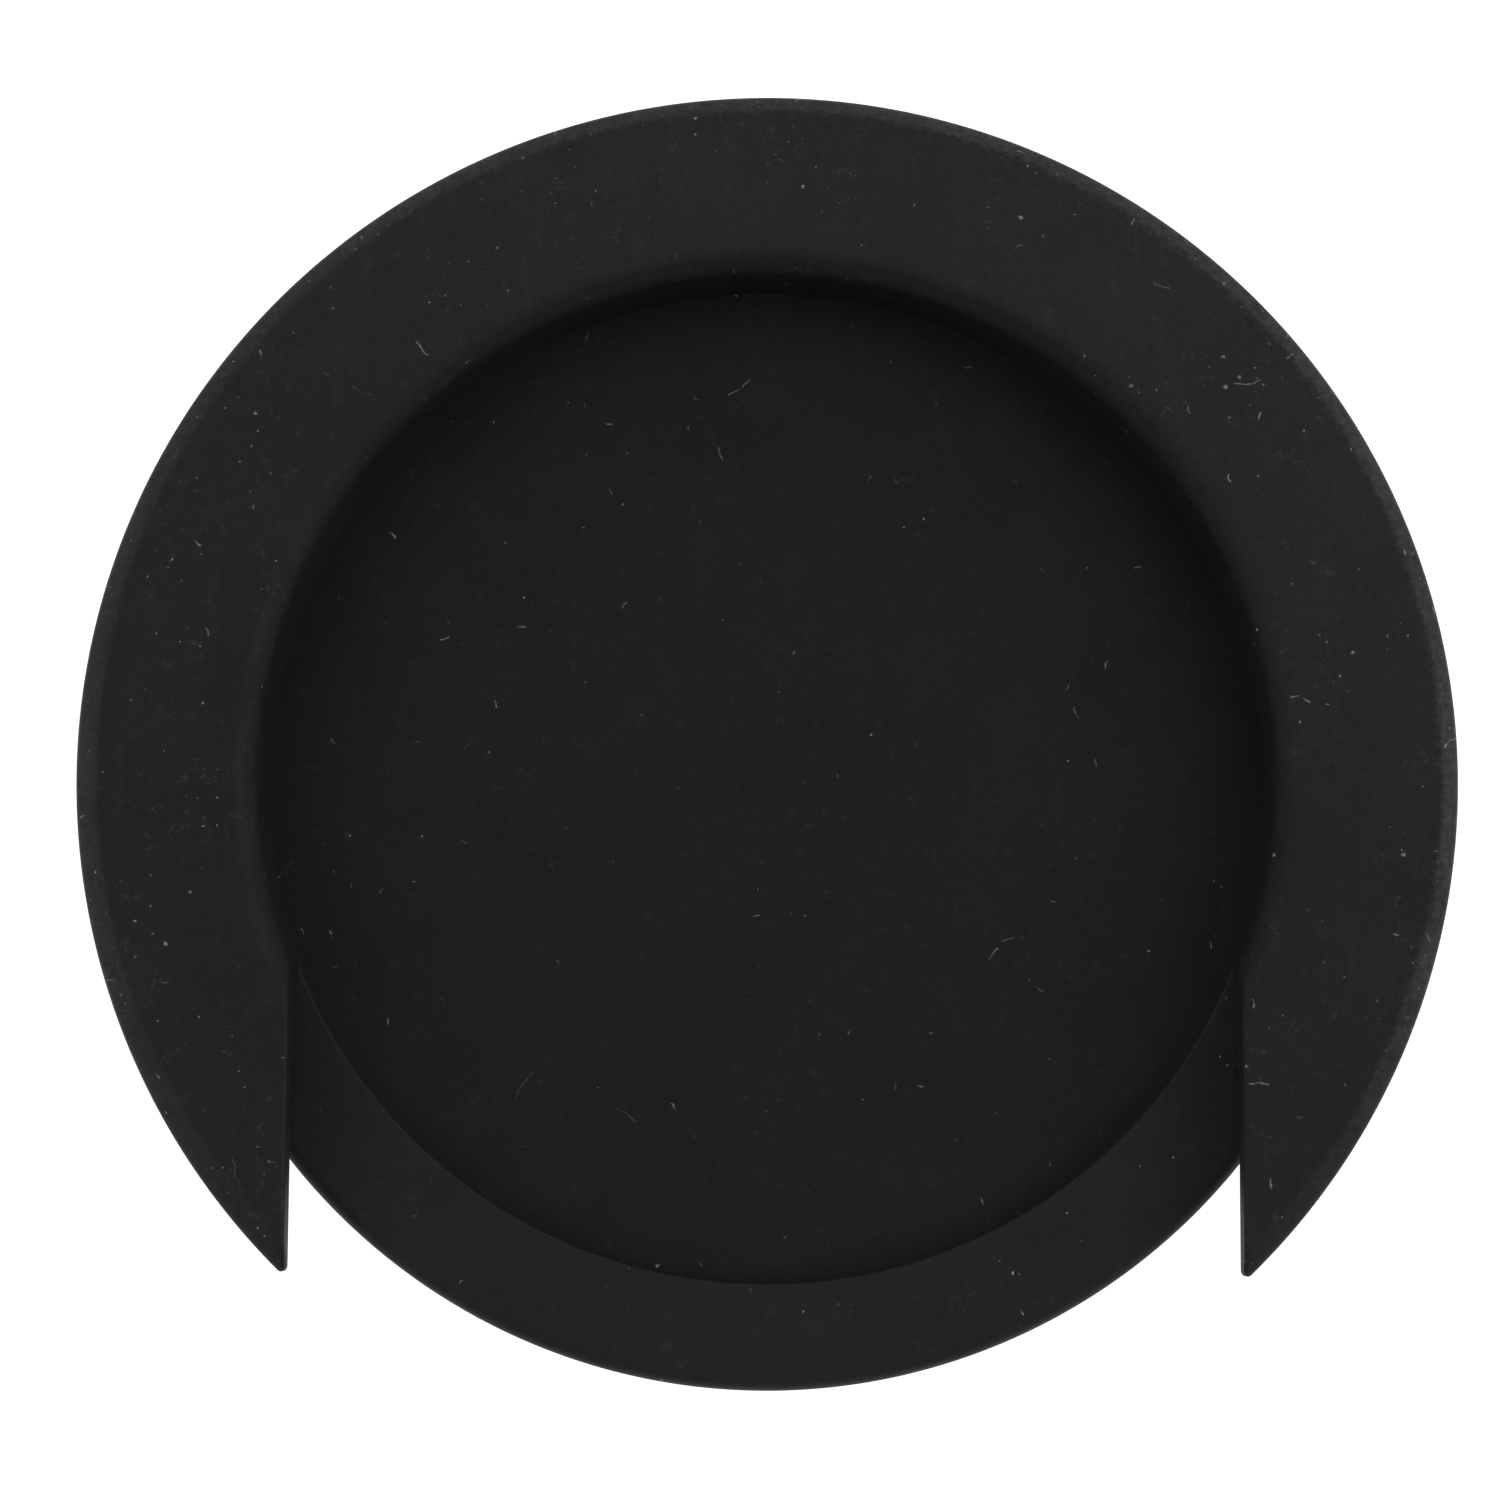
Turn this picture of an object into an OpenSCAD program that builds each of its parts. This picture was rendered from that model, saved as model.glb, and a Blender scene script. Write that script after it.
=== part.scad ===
// Sound hole cover for an acoustic guitar: one soft silicone moulding.
// The top flange lies on the soundboard, the neck stands in the sound hole, and the retaining
// flange clips under the soundboard. A straight cut-out clears the end of the fretboard.
// Origin: on the sound hole's axis, at the underside. +Z points out of the guitar, and -Y
// points at the fretboard.

/* [Sound hole] */
// Diameter of the guitar's sound hole
hole_d = 100; // [98:0.5:102]
// Gap between the neck and the edge of the hole
hole_gap = 0.5; // [0:0.1:0.5]
// Thickness of the soundboard that the groove grips
board_t = 3; // [2:0.1:4]

/* [Top flange] */
// Diameter of the top flange
flange_d = 123; // [119:1:130]
// Thickness of the top flange
flange_t = 3.5; // [3:0.1:5]
// Width of the bevel around its outer edge
bevel_w = 1.9; // [0.5:0.1:2.5]
// Drop of that bevel
bevel_h = 1.3; // [0.5:0.1:2.5]

/* [Retaining flange] */
// Diameter of the retaining flange
lip_d = 109.5; // [109:0.5:114]
// Height from the underside to the flange's upper face
lip_h = 5.5; // [4.2:0.1:7]
// Radius of its upper outer edge
lip_round = 1.2; // [0.5:0.1:1.5]
// Width of the lead-in slope under its edge
lead_w = 3; // [1:0.1:3.2]
// Height of that lead-in slope
lead_h = 2.5; // [1:0.1:2.5]

/* [Recess] */
// Diameter of the round recess
recess_d = 90.5; // [88:0.5:92]
// Width of the bevel around its rim
rim_w = 1.8; // [0.5:0.1:2.5]
// Drop of that bevel
rim_h = 1.6; // [0.5:0.1:2.5]
// Thickness of the panel that closes the sound hole
floor_t = 2.5; // [1.5:0.1:3]

/* [Fretboard cut-out] */
// Width of the straight cut-out between the two horns
cut_w = 84; // [70:0.5:86]

/* [Hidden] */

$fn = 180;
flange_r = flange_d / 2;
lip_r = lip_d / 2;
recess_r = recess_d / 2;
neck_r = hole_d / 2 - hole_gap;
seat_z = lip_h + board_t;
top_z = seat_z + flange_t;
overrun = 1;
silicone = [0.13, 0.13, 0.14];

// The space that the fretboard's end needs, from the retaining flange's upper face up
module fretboard_space() {
    translate([-cut_w / 2, -flange_r - overrun, lip_h])
        cube([cut_w, flange_r + overrun, top_z - lip_h + overrun]);
}

// The thin panel that closes the sound hole, at the bottom of the recess
module floor_panel() {
    color(silicone)
        cylinder(r = recess_r, h = floor_t);
}

// The wall around the panel, below the soundboard
module recess_wall() {
    color(silicone)
        rotate_extrude()
            translate([recess_r, 0])
                square([neck_r - recess_r, lip_h]);
}

// The lip that springs out under the soundboard, with a slope that leads it into the hole
module retaining_flange() {
    color(silicone)
        rotate_extrude() {
            polygon([
                [neck_r, 0],
                [lip_r - lead_w, 0],
                [lip_r, lead_h],
                [lip_r, lip_h - lip_round],
                [lip_r - lip_round, lip_h - lip_round],
                [lip_r - lip_round, lip_h],
                [neck_r, lip_h],
            ]);
            translate([lip_r - lip_round, lip_h - lip_round])
                intersection() {
                    circle(r = lip_round);
                    square(lip_round);
                }
        }
}

// The collar that stands in the sound hole: its outside is the bottom of the groove, and its
// top is the bevelled rim of the recess
module neck() {
    color(silicone)
        difference() {
            rotate_extrude()
                polygon([
                    [recess_r, lip_h],
                    [neck_r, lip_h],
                    [neck_r, top_z],
                    [recess_r + rim_w, top_z],
                    [recess_r, top_z - rim_h],
                ]);
            fretboard_space();
        }
}

// The crescent that lies on the soundboard and ends in two horns beside the fretboard
module top_flange() {
    color(silicone)
        difference() {
            rotate_extrude()
                polygon([
                    [neck_r, seat_z],
                    [flange_r, seat_z],
                    [flange_r, top_z - bevel_h],
                    [flange_r - bevel_w, top_z],
                    [neck_r, top_z],
                ]);
            fretboard_space();
        }
}

floor_panel();
recess_wall();
retaining_flange();
neck();
top_flange();
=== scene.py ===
"""Black silicone sound hole cover for an acoustic guitar, lying face up on a white table.

Each CAD zone of the moulding gets a smooth mesh in its place, with the rounded edges that a
mould leaves. One procedural silicone finish, in three states of dustiness, covers them. Its
colour holds painted light and shade, and its copies in the recess and under the top flange are
painted darker.
"""

import math

import bmesh
import bpy
from mathutils import Matrix, Vector


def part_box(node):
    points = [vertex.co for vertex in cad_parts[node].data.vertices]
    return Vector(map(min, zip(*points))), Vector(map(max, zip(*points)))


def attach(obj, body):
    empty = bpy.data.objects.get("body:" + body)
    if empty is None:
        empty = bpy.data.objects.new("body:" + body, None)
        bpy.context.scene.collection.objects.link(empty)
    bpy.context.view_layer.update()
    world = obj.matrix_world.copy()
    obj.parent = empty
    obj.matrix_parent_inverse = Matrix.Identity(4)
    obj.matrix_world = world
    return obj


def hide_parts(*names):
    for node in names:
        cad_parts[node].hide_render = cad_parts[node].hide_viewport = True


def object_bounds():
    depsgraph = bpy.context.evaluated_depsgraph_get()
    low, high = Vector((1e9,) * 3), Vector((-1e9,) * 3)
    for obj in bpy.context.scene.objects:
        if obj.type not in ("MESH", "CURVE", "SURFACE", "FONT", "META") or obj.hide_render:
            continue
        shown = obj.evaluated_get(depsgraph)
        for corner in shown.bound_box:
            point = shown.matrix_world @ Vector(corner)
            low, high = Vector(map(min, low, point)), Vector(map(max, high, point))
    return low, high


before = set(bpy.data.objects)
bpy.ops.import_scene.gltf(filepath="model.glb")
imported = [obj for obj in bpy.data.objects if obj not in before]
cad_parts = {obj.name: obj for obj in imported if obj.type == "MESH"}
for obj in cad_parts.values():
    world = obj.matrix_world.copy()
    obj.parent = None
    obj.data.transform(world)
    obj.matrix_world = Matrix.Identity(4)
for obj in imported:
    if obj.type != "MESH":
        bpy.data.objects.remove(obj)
cad_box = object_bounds()

MM = 0.001

# Sizes that the frame gives
FLANGE_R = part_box("top_flange")[1].y
SEAT_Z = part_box("top_flange")[0].z
TOP_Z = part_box("top_flange")[1].z
NECK_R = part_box("recess_wall")[1].x
LIP_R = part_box("retaining_flange")[1].x
LIP_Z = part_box("retaining_flange")[1].z
RECESS_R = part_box("floor_panel")[1].x
FLOOR_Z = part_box("floor_panel")[1].z
CUT_X = math.sqrt(NECK_R ** 2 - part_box("neck")[0].y ** 2)

# Bevels and slopes of the moulding, and how much of each is rolled over rather than straight
BEVEL_W, BEVEL_H, BEVEL_ROLL = 1.9 * MM, 1.3 * MM, 0.25
RIM_W, RIM_H, RIM_ROLL = 1.8 * MM, 1.6 * MM, 0.35
LEAD_W, LEAD_H = 3.0 * MM, 2.5 * MM
LIP_ROUND = 1.2 * MM
# The mould's two halves don't quite line up, so the outer bevel is narrower at one side
BEVEL_SHIFT = 0.3 * MM
# Small radii that a mould leaves
EDGE_ROUND = 0.35 * MM
TIP_ROUND = 0.45 * MM
RIM_ROUND = 0.5 * MM
INNER_ROUND = 0.3 * MM
SOFT_CORNER = 0.25 * MM
RIM_SOFT = 0.6 * MM

# The studio's soft lights: azimuth (0 is +X, 90 is +Y) and elevation in degrees, brightness.
# The higher the focus, the narrower each light.
SOFT_LIGHTS = ((0, 39, 2.08), (180, 38, 1.50), (0, 18, 0.3), (180, 18, 0.2),
               (90, 32, 0.85), (90, 60, 0.4), (270, 32, 0.42))
LIGHT_FOCUS = 12
# The table, which glows so that the cover casts hardly any shadow
TABLE_HALF, TABLE_GAP = 3.0, 0.1 * MM
TABLE_GREY, TABLE_ROUGHNESS, TABLE_GLOW = 0.8, 0.8, 0.95

# The camera stands almost straight above the cover's top and sees this width there
CAMERA_HEIGHT, CAMERA_Y = 342 * MM, -37 * MM
FRAME_W = 133 * MM
TARGET_X, TARGET_BELOW_CENTRE = -1.45 * MM, 1.6 * MM
SENSOR_W, CLIP_START = 36, 0.01
# Turn of the camera about its own axis
ROLL = math.radians(0.3)

# Of the silicone, which is matte
ROUGHNESS, ROUGHNESS_SPREAD = 0.68, 0.04
SILICONE_IOR = 1.41
# Painted shade: the silicone's brightness on a slope is painted down to this, where a level face
# has 1
SLOPE_PAINTED_SHADE = 0.88
# Colours of the grey dust and of the few warm grains in it
GREY_DUST, WARM_DUST = (0.50, 0.50, 0.50, 1), (0.36, 0.20, 0.14, 1)

# Fineness of the meshes
TURN_STEPS = 360
ARC_STEPS = 6
WALL_STEPS = 3
SHARP_ANGLE = math.radians(35)
MERGE_DISTANCE = 0.0005 * MM

# Centre of the circle that rounds a horn's tip, on the +X side
TIP_X = CUT_X + TIP_ROUND
TIP_Y = -math.sqrt((FLANGE_R - TIP_ROUND) ** 2 - TIP_X ** 2)
TIP_FROM_AXIS = math.hypot(TIP_X, TIP_Y)
TIP_ANGLE = math.atan2(TIP_Y, TIP_X)
LAST_STRAIGHT_R = math.hypot(CUT_X, TIP_Y)


# ---------------------------------------------------------------- shape rules

def quarter(radius):
    """Distances from an edge at which a quarter circle of that radius is sampled."""
    angles = (math.pi / 2 * k / ARC_STEPS for k in range(ARC_STEPS + 1))
    return [radius * (1 - math.cos(angle)) for angle in angles]


def drop(distance, radius):
    """How far a rounded edge lies below its sharp corner, at that distance from the edge."""
    if distance >= radius:
        return 0.0
    return radius - math.sqrt(radius ** 2 - (radius - max(distance, 0.0)) ** 2)


def ramp(distance, width, height, roll=0.0, soft=SOFT_CORNER):
    """Fall of a bevel that starts at distance 0 with a softened corner, and gets steeper."""
    if distance <= -soft:
        return 0.0
    if distance < soft:
        distance = (distance + soft) ** 2 / (4 * soft)
    part = distance / width
    return height * ((1 - roll) * part + roll * part ** 2)


def fade(value, low, high):
    """0 at low and 1 at high, with no corner at either."""
    t = min(max((value - low) / (high - low), 0.0), 1.0)
    return t * t * (3 - 2 * t)


def cut_distance(x, y):
    """Distance from the cut-out's straight side, or a large one away from it."""
    return abs(x) - CUT_X if y < 0 else FLANGE_R


def edge_distance(x, y):
    """Distance from the top flange's outline: its circle, its cuts and its round tips."""
    radius = math.hypot(x, y)
    from_tip = (abs(x) - TIP_X, y - TIP_Y)
    past_radial = TIP_X * from_tip[1] - TIP_Y * from_tip[0] < 0
    if from_tip[1] < 0 and past_radial:
        return TIP_ROUND - math.hypot(*from_tip)
    return min(cut_distance(x, y), FLANGE_R - radius)


def cut_start(radius):
    """Where the circle of that radius meets the outline of the cut-out, on the +X side."""
    if radius <= LAST_STRAIGHT_R:
        return CUT_X
    reach = (radius ** 2 - TIP_FROM_AXIS ** 2 - TIP_ROUND ** 2) / (2 * TIP_FROM_AXIS * TIP_ROUND)
    angle = TIP_ANGLE - math.acos(min(max(reach, -1.0), 1.0))
    return TIP_X + TIP_ROUND * math.cos(angle)


def open_row(radius):
    """Points of one circle from the right cut, over the top, to the left cut."""
    start = cut_start(radius)
    beside_cut = quarter(EDGE_ROUND) + [2 * EDGE_ROUND, 4 * EDGE_ROUND]
    right = [(start + d, -math.sqrt(radius ** 2 - (start + d) ** 2)) for d in beside_cut]
    first = math.atan2(right[-1][1], right[-1][0])
    sweep = math.pi - 2 * first
    turns = (first + sweep * k / TURN_STEPS for k in range(1, TURN_STEPS))
    middle = [(radius * math.cos(turn), radius * math.sin(turn)) for turn in turns]
    left = [(-x, y) for x, y in reversed(right)]
    return right + middle + left


def closed_row(radius):
    """Points of one full circle."""
    turns = (2 * math.pi * k / TURN_STEPS for k in range(TURN_STEPS))
    return [(radius * math.cos(turn), radius * math.sin(turn)) for turn in turns]


def steps(low, high, count):
    """Evenly spaced values strictly between low and high."""
    return [low + (high - low) * k / (count + 1) for k in range(1, count + 1)]


# ---------------------------------------------------------------- heights of each zone

def flange_top(x, y):
    """Flat, with the outer bevel a little off the flange's centre."""
    from_bevel = math.hypot(x - BEVEL_SHIFT, y - BEVEL_SHIFT) - (FLANGE_R - BEVEL_W)
    bevel = ramp(from_bevel, BEVEL_W, BEVEL_H, BEVEL_ROLL)
    return TOP_Z - bevel - drop(edge_distance(x, y), EDGE_ROUND)


def flange_bottom(x, y):
    return SEAT_Z + drop(edge_distance(x, y), EDGE_ROUND)


def neck_top(x, y):
    """Flat, with the bevelled and rounded rim of the recess."""
    radius = math.hypot(x, y)
    bevel = ramp(RECESS_R + RIM_W - radius, RIM_W, RIM_H, RIM_ROLL, RIM_SOFT)
    corner = drop(radius - RECESS_R, RIM_ROUND)
    return TOP_Z - bevel - corner - drop(cut_distance(x, y), EDGE_ROUND)


def neck_bottom(x, y):
    return LIP_Z


def wall_top(x, y):
    """Rounded at its inner edge only inside the cut-out, where no neck stands on it."""
    inside_cut = 1 - fade(abs(x), CUT_X - 2 * INNER_ROUND, CUT_X) if y < 0 else 0.0
    corner = INNER_ROUND * inside_cut
    return LIP_Z - drop(math.hypot(x, y) - RECESS_R, corner)


def lip_top(x, y):
    return LIP_Z - drop(LIP_R - math.hypot(x, y), LIP_ROUND)


def lip_bottom(x, y):
    """Flat, with the lead-in slope at its edge."""
    from_edge = LIP_R - math.hypot(x, y)
    return ramp(LEAD_W - from_edge, LEAD_W, LEAD_H) + drop(from_edge, EDGE_ROUND)


def panel_top(x, y):
    return FLOOR_Z


def on_base(x, y):
    return 0.0


# ---------------------------------------------------------------- meshes

def block(name, rows, low, high, closed):
    """A closed solid over rows of plan points, between the heights low(x, y) and high(x, y)."""
    last_row, count, top = len(rows) - 1, len(rows[0]), WALL_STEPS
    index, points, faces = {}, [], []

    def corner(i, j, k):
        if (i, j, k) not in index:
            x, y = rows[i][j]
            bottom_z, top_z = low(x, y), high(x, y)
            index[i, j, k] = len(points)
            points.append((x, y, bottom_z + (top_z - bottom_z) * k / top))
        return index[i, j, k]

    columns = [(j, (j + 1) % count) for j in range(count if closed else count - 1)]
    for i in range(last_row):
        for j, after in columns:
            for k in (0, top):
                square = (i, j), (i + 1, j), (i + 1, after), (i, after)
                faces.append([corner(a, b, k) for a, b in square])
    walls = [0, last_row] if math.hypot(*rows[0][0]) > 0 else [last_row]
    for i in walls:
        for j, after in columns:
            for k in range(top):
                square = (j, k), (after, k), (after, k + 1), (j, k + 1)
                faces.append([corner(i, a, b) for a, b in square])
    for j in [] if closed else [0, count - 1]:
        for i in range(last_row):
            for k in range(top):
                square = (i, k), (i + 1, k), (i + 1, k + 1), (i, k + 1)
                faces.append([corner(a, j, b) for a, b in square])
    return finished_mesh(name, points, faces)


def finished_mesh(name, points, faces):
    """An object from points and faces, merged, turned outwards and smooth-shaded."""
    mesh = bpy.data.meshes.new(name)
    mesh.from_pydata(points, [], faces)
    work = bmesh.new()
    work.from_mesh(mesh)
    bmesh.ops.remove_doubles(work, verts=work.verts, dist=MERGE_DISTANCE)
    bmesh.ops.recalc_face_normals(work, faces=work.faces)
    work.to_mesh(mesh)
    work.free()
    mesh.shade_smooth()
    mesh.set_sharp_from_angle(angle=SHARP_ANGLE)
    piece = bpy.data.objects.new(name, mesh)
    bpy.context.scene.collection.objects.link(piece)
    weighted = piece.modifiers.new("Even normals", "WEIGHTED_NORMAL")
    weighted.keep_sharp = True
    return piece


def make_top_flange():
    reach = 1.5 * BEVEL_SHIFT + SOFT_CORNER
    bevel_start = FLANGE_R - BEVEL_W - reach
    bevel_end = FLANGE_R - BEVEL_W + reach
    radii = [NECK_R, *steps(NECK_R, bevel_start, 9), bevel_start]
    radii += steps(bevel_start, bevel_end, 12) + [bevel_end]
    radii += steps(bevel_end, FLANGE_R - TIP_ROUND, 2)
    radii += steps(FLANGE_R - TIP_ROUND, FLANGE_R - EDGE_ROUND, 3)
    radii += [FLANGE_R - d for d in reversed(quarter(EDGE_ROUND))]
    rows = [open_row(radius) for radius in radii]
    return block("silicone_top_flange", rows, flange_bottom, flange_top, closed=False)


def make_neck():
    rim_end = RECESS_R + RIM_W
    radii = [RECESS_R + d for d in quarter(RIM_ROUND)]
    radii += steps(RECESS_R + RIM_ROUND, rim_end - RIM_SOFT, 3)
    radii += [rim_end + RIM_SOFT * k / 3 for k in range(-3, 4)]
    radii += steps(rim_end + RIM_SOFT, NECK_R, 2) + [NECK_R]
    rows = [open_row(radius) for radius in radii]
    return block("silicone_neck", rows, neck_bottom, neck_top, closed=False)


def make_recess_wall():
    radii = [RECESS_R + d for d in quarter(INNER_ROUND)]
    radii += steps(RECESS_R + INNER_ROUND, NECK_R, 4) + [NECK_R]
    rows = [closed_row(radius) for radius in radii]
    return block("silicone_recess_wall", rows, on_base, wall_top, closed=True)


def make_retaining_flange():
    lead_start = LIP_R - LEAD_W
    radii = [NECK_R, *steps(NECK_R, lead_start - SOFT_CORNER, 3)]
    radii += [lead_start + SOFT_CORNER * t for t in (-1, -0.5, 0, 0.5, 1)]
    radii += steps(lead_start + SOFT_CORNER, LIP_R - LIP_ROUND, 3)
    radii += [LIP_R - d for d in reversed(quarter(LIP_ROUND))]
    radii += [LIP_R - d for d in quarter(EDGE_ROUND)[1:-1]]
    rows = [closed_row(radius) for radius in sorted(radii)]
    return block("silicone_retaining_flange", rows, lip_bottom, lip_top, closed=True)


def make_floor_panel():
    radii = [0.0, *steps(0.0, RECESS_R, 12), RECESS_R]
    rows = [closed_row(radius) for radius in radii]
    return block("silicone_floor_panel", rows, on_base, panel_top, closed=True)


# ---------------------------------------------------------------- silicone finish

class Nodes:
    """Short calls that add shader nodes to one material."""

    def __init__(self, name):
        self.material = bpy.data.materials.new(name)
        self.material.use_nodes = True
        self.tree = self.material.node_tree
        self.tree.nodes.clear()

    def add(self, kind, inputs=(), **settings):
        node = self.tree.nodes.new(kind)
        for key, value in settings.items():
            setattr(node, key, value)
        for key, value in dict(inputs).items():
            self.put(node.inputs[key], value)
        return node

    def put(self, socket, value):
        if isinstance(value, bpy.types.NodeSocket):
            self.tree.links.new(value, socket)
        else:
            socket.default_value = value

    def math(self, operation, a, b=0.0, clamp=False):
        node = self.add("ShaderNodeMath", {0: a, 1: b}, operation=operation, use_clamp=clamp)
        return node.outputs[0]

    def between(self, value, low, high, out_low=0.0, out_high=1.0):
        """A smooth step from out_low at low to out_high at high."""
        inputs = {"Value": value, 1: low, 2: high, 3: out_low, 4: out_high}
        node = self.add("ShaderNodeMapRange", inputs, interpolation_type="SMOOTHSTEP")
        return node.outputs[0]

    def noise(self, place, scale, detail=2.0, roughness=0.5):
        inputs = {"Vector": place, "Scale": scale, "Detail": detail, "Roughness": roughness}
        return self.add("ShaderNodeTexNoise", inputs).outputs["Fac"]

    def shifted(self, place, offset):
        node = self.add("ShaderNodeVectorMath", {0: place, 1: offset}, operation="ADD")
        return node.outputs[0]

    def mixed(self, factor, first, second):
        node = self.add("ShaderNodeMix", {"Factor": factor}, data_type="RGBA")
        self.put(node.inputs[6], first)
        self.put(node.inputs[7], second)
        return node.outputs[2]

    def split(self, vector):
        return self.add("ShaderNodeSeparateXYZ", {0: vector}).outputs


def specks(n, place, seed, cell, radius, amount):
    """Round dust grains: 1 inside a grain and 0 outside, each with its own strength."""
    moved = n.shifted(place, (seed * 17.3, seed * 9.1, seed * 5.7))
    cells = n.add("ShaderNodeTexVoronoi", {"Vector": moved, "Scale": 1 / cell})
    chance = n.split(cells.outputs["Color"])
    reach = n.math("MULTIPLY", cells.outputs["Distance"], cell)
    size = n.math("MULTIPLY", n.between(chance[1], 0.0, 1.0, 0.5, 1.0), radius)
    inside = n.math("SUBTRACT", 1.0, n.math("DIVIDE", reach, size), clamp=True)
    grain = n.between(inside, 0.0, 0.7)
    present = n.math("LESS_THAN", chance[0], amount)
    strength = n.math("POWER", chance[2], 2.6)
    return n.math("MULTIPLY", n.math("MULTIPLY", grain, present), strength)


def fibres(n, place, upward, seed, cell, length, width, bend, amount, brightest):
    """Curved lint fibres lying on upward faces, one at most in each cell."""
    moved = n.shifted(place, (seed * 23.9, seed * 13.7, 0.0))
    cells = n.add("ShaderNodeTexVoronoi", {"Vector": moved, "Scale": 1 / cell, "Randomness": 0.7},
                  voronoi_dimensions="2D")
    centre = cells.outputs["Position"]
    chance = n.split(cells.outputs["Color"])
    local = n.add("ShaderNodeVectorMath", {0: moved, 1: centre}, operation="SUBTRACT").outputs[0]
    turned = n.add("ShaderNodeVectorRotate",
                   {"Vector": local, "Angle": n.math("MULTIPLY", chance[0], 2 * math.pi)},
                   rotation_type="Z_AXIS").outputs[0]
    along, across, _ = n.split(turned)
    half = n.math("MULTIPLY", n.between(chance[2], 0.0, 1.0, 0.35, 1.0), length / 2)
    curl = n.math("MULTIPLY", n.math("SUBTRACT", chance[1], 0.5), bend)
    arc = n.math("MULTIPLY", n.math("MULTIPLY", along, along), curl)
    phase = n.math("ADD", n.math("MULTIPLY", along, 2.6), n.math("MULTIPLY", chance[1], 40.0))
    wave = n.math("MULTIPLY", n.math("SINE", phase), 0.03 * length)
    off = n.math("ABSOLUTE", n.math("SUBTRACT", across, n.math("ADD", arc, wave)))
    body = n.between(off, width * 0.3, width, 1.0, 0.0)
    ends = n.between(n.math("SUBTRACT", half, n.math("ABSOLUTE", along)), 0.0, width * 3)
    dice = n.add("ShaderNodeTexWhiteNoise", {"Vector": centre}, noise_dimensions="2D")
    present = n.math("LESS_THAN", dice.outputs["Value"], amount)
    strength = n.between(n.split(dice.outputs["Color"])[1], 0.0, 1.0, 0.1, brightest)
    broken = n.math("MULTIPLY", n.between(n.noise(moved, 1.6), 0.35, 0.6, 0.25, 1.0), strength)
    shape = n.math("MULTIPLY", n.math("MULTIPLY", body, ends), present)
    return n.math("MULTIPLY", n.math("MULTIPLY", shape, broken), upward)


def wisps(n, place, patches):
    """Faint curly traces of lint: thin contours of one noise, kept where another one peaks."""
    contour = n.math("ABSOLUTE", n.math("SUBTRACT", n.noise(place, 1.1, 2.0), 0.5))
    line = n.between(contour, 0.0, 0.05, 1.0, 0.0)
    kept = n.between(n.noise(n.shifted(place, (31.0, 7.0, 3.0)), 0.7, 1.0), 0.60, 0.70)
    return n.math("MULTIPLY", n.math("MULTIPLY", line, kept), patches)


def silicone_tone(n, spot, shade, painted_light_and_smear, scuff_and_painted_light):
    """Base brightness: mottling, grain, smears, a scuffed bevel, and painted light: the colour
    rises by up to the given amount either way outwards and towards the far right, and the bevel
    is painted too."""
    x, y, _ = n.split(spot)
    radius = n.math("SQRT", n.math("ADD", n.math("MULTIPLY", x, x), n.math("MULTIPLY", y, y)))
    mottling = n.noise(spot, scale=0.07, detail=5.0, roughness=0.65)
    mottle = n.between(mottling, 0.3, 0.7, 0.90, 1.10)
    grain_noise = n.noise(spot, 2.2, 3.0)
    grain = n.between(grain_noise, 0.3, 0.7, 0.84, 1.16)
    tone = n.math("MULTIPLY", n.math("MULTIPLY", mottle, grain), shade)
    # Painted light: the colour grows brighter outwards and towards the far right
    outwards = n.between(radius, 46.0, 59.0, 1 - painted_light_and_smear / 2, 1 + painted_light_and_smear / 2)
    far_right = n.math("ADD", n.math("MULTIPLY", x, 0.4), y)
    painted_light_far_right = n.between(far_right, -10.0, 60.0, 1 - painted_light_and_smear, 1 + painted_light_and_smear)
    tone = n.math("MULTIPLY", n.math("MULTIPLY", tone, outwards), painted_light_far_right)

    long_spot = n.add("ShaderNodeVectorMath", {0: spot, 1: (0.55, 0.10, 0.10)},
                      operation="MULTIPLY").outputs[0]
    smearing = n.noise(long_spot, scale=1.0, detail=4.0, roughness=0.6)
    smear = n.between(smearing, 0.56, 0.80, 0.0, painted_light_and_smear * 0.045)
    ragged = n.math("ADD", radius, n.math("MULTIPLY", grain_noise, 1.2))
    on_bevel = n.between(ragged, 59.9, 61.0)
    # Painted light and shade on the bevel: its scuffs are painted lighter towards the right and
    # the far side, and the bevel darker towards the near side and the left
    across = n.math("ADD", n.math("MULTIPLY", x, 0.005), 0.7)
    side = n.math("MULTIPLY", across, n.between(y, -50.0, -5.0, 0.1, 1.0), clamp=True)
    rubbing = n.noise(spot, scale=1.1, detail=4.0, roughness=0.65)
    rubbed_and_painted_light = n.math("MULTIPLY", n.between(rubbing, 0.32, 0.68, 0.3, 1.9), side)
    painted_shade_low_side = n.math("MULTIPLY", n.math("SUBTRACT", 1.0, side), 0.8)
    wear_and_painted_light = n.math("MULTIPLY", on_bevel, n.math("SUBTRACT", rubbed_and_painted_light, painted_shade_low_side))
    wear_and_painted_light = n.math("ADD", n.math("MULTIPLY", wear_and_painted_light, scuff_and_painted_light), smear)
    return n.math("ADD", tone, wear_and_painted_light), on_bevel


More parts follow.
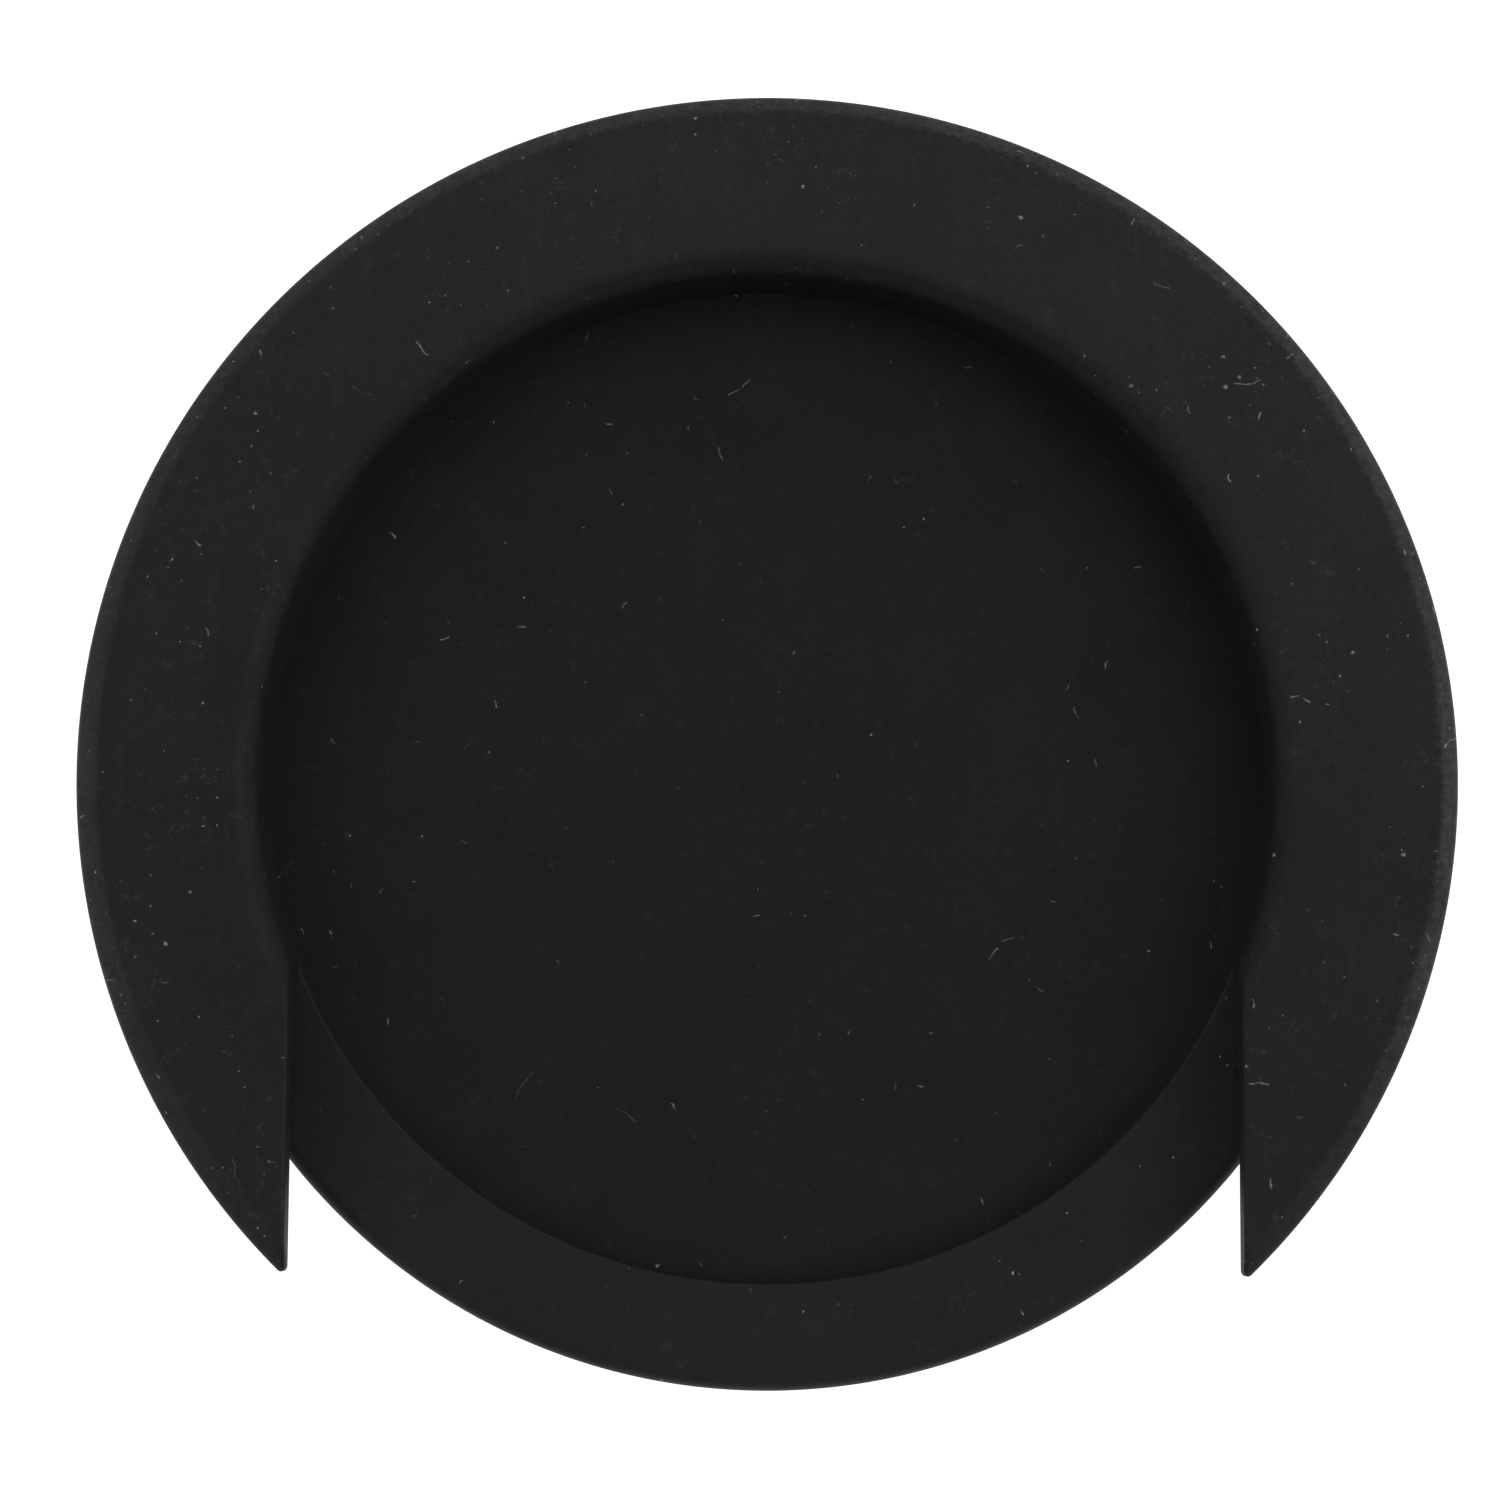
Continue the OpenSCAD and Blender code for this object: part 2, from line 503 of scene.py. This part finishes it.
def make_silicone(name, shade, painted_light_and_smear, scuff_and_painted_light, dust, lint, strength, blue):
    """Matte black silicone with dust and lint on it, and painted light and shade in its colour.
    Its lengths are in millimetres.

    shade is the base brightness; the next two set the strength of the painted light's rise (with
    the smears) and of the scuffed bevel with its painted light and shade; dust and lint how many
    grains and fibres there are, strength how bright they are, blue a faint tint.
    """
    n = Nodes(name)
    place = n.add("ShaderNodeTexCoord")
    spot = n.add("ShaderNodeVectorMath", {0: place.outputs["Object"], 1: (1 / MM,) * 3},
                 operation="MULTIPLY").outputs[0]
    level = n.split(place.outputs["Normal"])[2]
    upward = n.between(level, 0.3, 0.8)
    tone, on_bevel = silicone_tone(n, spot, shade, painted_light_and_smear, scuff_and_painted_light)
    # Painted shade: slopes get a darker colour than level faces
    tone = n.math("MULTIPLY", tone, n.between(level, 0.6, 1.0, SLOPE_PAINTED_SHADE, 1.0))
    base = n.add("ShaderNodeCombineXYZ", {0: tone, 1: n.math("MULTIPLY", tone, 1.02),
                                          2: n.math("MULTIPLY", tone, blue)})

    wobble = n.add("ShaderNodeTexNoise", {"Vector": spot, "Scale": 3.0, "Detail": 1.0})
    wobble = n.add("ShaderNodeVectorMath", {0: wobble.outputs["Color"], 1: (0.35, 0.35, 0.35)},
                   operation="MULTIPLY").outputs[0]
    bent = n.add("ShaderNodeVectorMath", {0: spot, 1: wobble}, operation="ADD").outputs[0]
    patches = n.between(n.noise(spot, 0.11, 3.0), 0.35, 0.65, 0.4, 1.6)
    amount = n.math("MULTIPLY", patches, n.math("ADD", 1.0, n.math("MULTIPLY", on_bevel, 3.0)))
    fine = specks(n, bent, seed=1, cell=0.6, radius=0.14,
                  amount=n.math("MULTIPLY", amount, 0.10 * dust))
    coarse = specks(n, bent, seed=2, cell=1.4, radius=0.25,
                    amount=n.math("MULTIPLY", amount, 0.13 * dust))
    few = n.math("MULTIPLY", amount, 0.14 * lint)
    short = fibres(n, bent, upward, seed=3, cell=2.6, length=1.0, width=0.10, bend=0.9,
                   amount=few, brightest=0.8)
    few = n.math("MULTIPLY", patches, 0.26 * lint)
    long = fibres(n, bent, upward, seed=4, cell=8.0, length=3.4, width=0.09, bend=0.25,
                  amount=few, brightest=0.7)
    faint = n.math("MULTIPLY", wisps(n, spot, patches), 0.055 * lint)
    dirt = n.math("MAXIMUM", n.math("MAXIMUM", fine, coarse), n.math("MAXIMUM", short, long))
    dirt = n.math("MULTIPLY", n.math("MAXIMUM", dirt, faint), strength)

    warm = n.between(n.noise(spot, 0.4), 0.60, 0.72)
    dust_colour = n.mixed(warm, GREY_DUST, WARM_DUST)
    colour = n.mixed(dirt, base.outputs[0], dust_colour)

    rough = n.between(n.noise(spot, 0.2, 3.0), 0.3, 0.7, ROUGHNESS - ROUGHNESS_SPREAD,
                      ROUGHNESS + ROUGHNESS_SPREAD)
    rough = n.math("ADD", rough, n.math("MULTIPLY", dirt, 0.3), clamp=True)
    skin = n.math("ADD", n.math("MULTIPLY", n.noise(spot, 6.0), 0.006),
                  n.math("MULTIPLY", n.noise(spot, 0.6, 2.0), 0.02))
    height = n.math("ADD", skin, n.math("MULTIPLY", dirt, 0.05))
    bump = n.add("ShaderNodeBump", {"Height": height, "Strength": 0.6, "Distance": MM})
    shader = n.add("ShaderNodeBsdfPrincipled", {"Base Color": colour, "Roughness": rough,
                                                "Normal": bump.outputs[0],
                                                "IOR": SILICONE_IOR})
    n.add("ShaderNodeOutputMaterial", {"Surface": shader.outputs[0]})
    return n.material


# ---------------------------------------------------------------- table, light and camera

def make_table():
    """A white glowing table top, a hair below the cover."""
    signs = (-1, -1), (1, -1), (1, 1), (-1, 1)
    corners = [(a * TABLE_HALF, b * TABLE_HALF, -TABLE_GAP) for a, b in signs]
    mesh = bpy.data.meshes.new("table")
    mesh.from_pydata(corners, [], [(0, 1, 2, 3)])
    table = bpy.data.objects.new("table", mesh)
    bpy.context.scene.collection.objects.link(table)
    n = Nodes("white_table")
    shader = n.add("ShaderNodeBsdfPrincipled", {"Base Color": (TABLE_GREY,) * 3 + (1,),
                                                "Roughness": TABLE_ROUGHNESS,
                                                "Emission Color": (1, 1, 1, 1),
                                                "Emission Strength": TABLE_GLOW})
    n.add("ShaderNodeOutputMaterial", {"Surface": shader.outputs[0]})
    mesh.materials.append(n.material)


def make_light():
    """Broad soft lights at the four sides. The backdrop looks white, but lights nothing."""
    world = bpy.data.worlds.new("studio")
    world.use_nodes = True
    tree = world.node_tree
    direction = tree.nodes.new("ShaderNodeTexCoord").outputs["Generated"]

    def worked(kind, operation, first, second):
        node = tree.nodes.new(kind)
        node.operation = operation
        tree.links.new(first, node.inputs[0])
        if isinstance(second, bpy.types.NodeSocket):
            tree.links.new(second, node.inputs[1])
        else:
            node.inputs[1].default_value = second
        return node.outputs["Value"]

    total = None
    for azimuth, elevation, brightness in SOFT_LIGHTS:
        turn, rise = math.radians(azimuth), math.radians(elevation)
        axis = (math.cos(turn) * math.cos(rise), math.sin(turn) * math.cos(rise), math.sin(rise))
        facing = worked("ShaderNodeVectorMath", "DOT_PRODUCT", direction, axis)
        facing = worked("ShaderNodeMath", "MAXIMUM", facing, 0.0)
        glow = worked("ShaderNodeMath", "POWER", facing, LIGHT_FOCUS)
        glow = worked("ShaderNodeMath", "MULTIPLY", glow, brightness)
        total = worked("ShaderNodeMath", "ADD", glow, total or 0.0)
    seen_directly = tree.nodes.new("ShaderNodeLightPath").outputs["Is Camera Ray"]
    total = worked("ShaderNodeMath", "MAXIMUM", total, seen_directly)
    tree.links.new(total, tree.nodes["Background"].inputs["Strength"])
    tree.nodes["Background"].inputs["Color"].default_value = (1, 1, 1, 1)
    bpy.context.scene.world = world


def make_camera():
    """Almost straight down, from a little towards the cut-out's side."""
    centre = (cad_box[0] + cad_box[1]) / 2
    place = Vector((0, CAMERA_Y, TOP_Z + CAMERA_HEIGHT))
    target = Vector((TARGET_X, centre.y - TARGET_BELOW_CENTRE, TOP_Z))
    lens = bpy.data.cameras.new("camera")
    lens.sensor_width = SENSOR_W
    lens.lens = lens.sensor_width * (place - target).length / FRAME_W
    lens.clip_start = CLIP_START
    camera = bpy.data.objects.new("camera", lens)
    camera.location = place
    back = (place - target).normalized()
    up = Matrix.Rotation(ROLL, 3, back) @ Vector((0, 1, 0))
    right = up.cross(back).normalized()
    axes = Matrix((right, back.cross(right), back)).transposed()
    camera.rotation_euler = axes.to_euler()
    bpy.context.scene.collection.objects.link(camera)
    bpy.context.scene.camera = camera
    bpy.context.scene.view_settings.view_transform = "Standard"


# ---------------------------------------------------------------- the scene

make_camera()
make_light()
make_table()

# Three copies of one silicone: they differ in dust, and the copies in the recess and under the
# top flange get darker shades, which is painted shade
flange_silicone = make_silicone("dusty_painted_light_silicone", shade=0.0167, painted_light_and_smear=0.16, scuff_and_painted_light=0.017,
                                dust=0.72, lint=0.7, strength=0.95, blue=1.2)
lower_silicone = make_silicone("sheltered_painted_shade_silicone", shade=0.0148, painted_light_and_smear=0.0, scuff_and_painted_light=0.0,
                               dust=0.4, lint=0.5, strength=0.9, blue=1.2)
floor_silicone = make_silicone("clean_painted_shade_silicone", shade=0.0082, painted_light_and_smear=0.0, scuff_and_painted_light=0.0,
                               dust=0.14, lint=0.55, strength=0.7, blue=1.4)
made = {
    "top_flange": (make_top_flange(), flange_silicone),
    "neck": (make_neck(), flange_silicone),
    "retaining_flange": (make_retaining_flange(), lower_silicone),
    "recess_wall": (make_recess_wall(), lower_silicone),
    "floor_panel": (make_floor_panel(), floor_silicone),
}
for node, (piece, finish) in made.items():
    piece.data.materials.append(finish)
    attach(piece, "root")
    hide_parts(node)
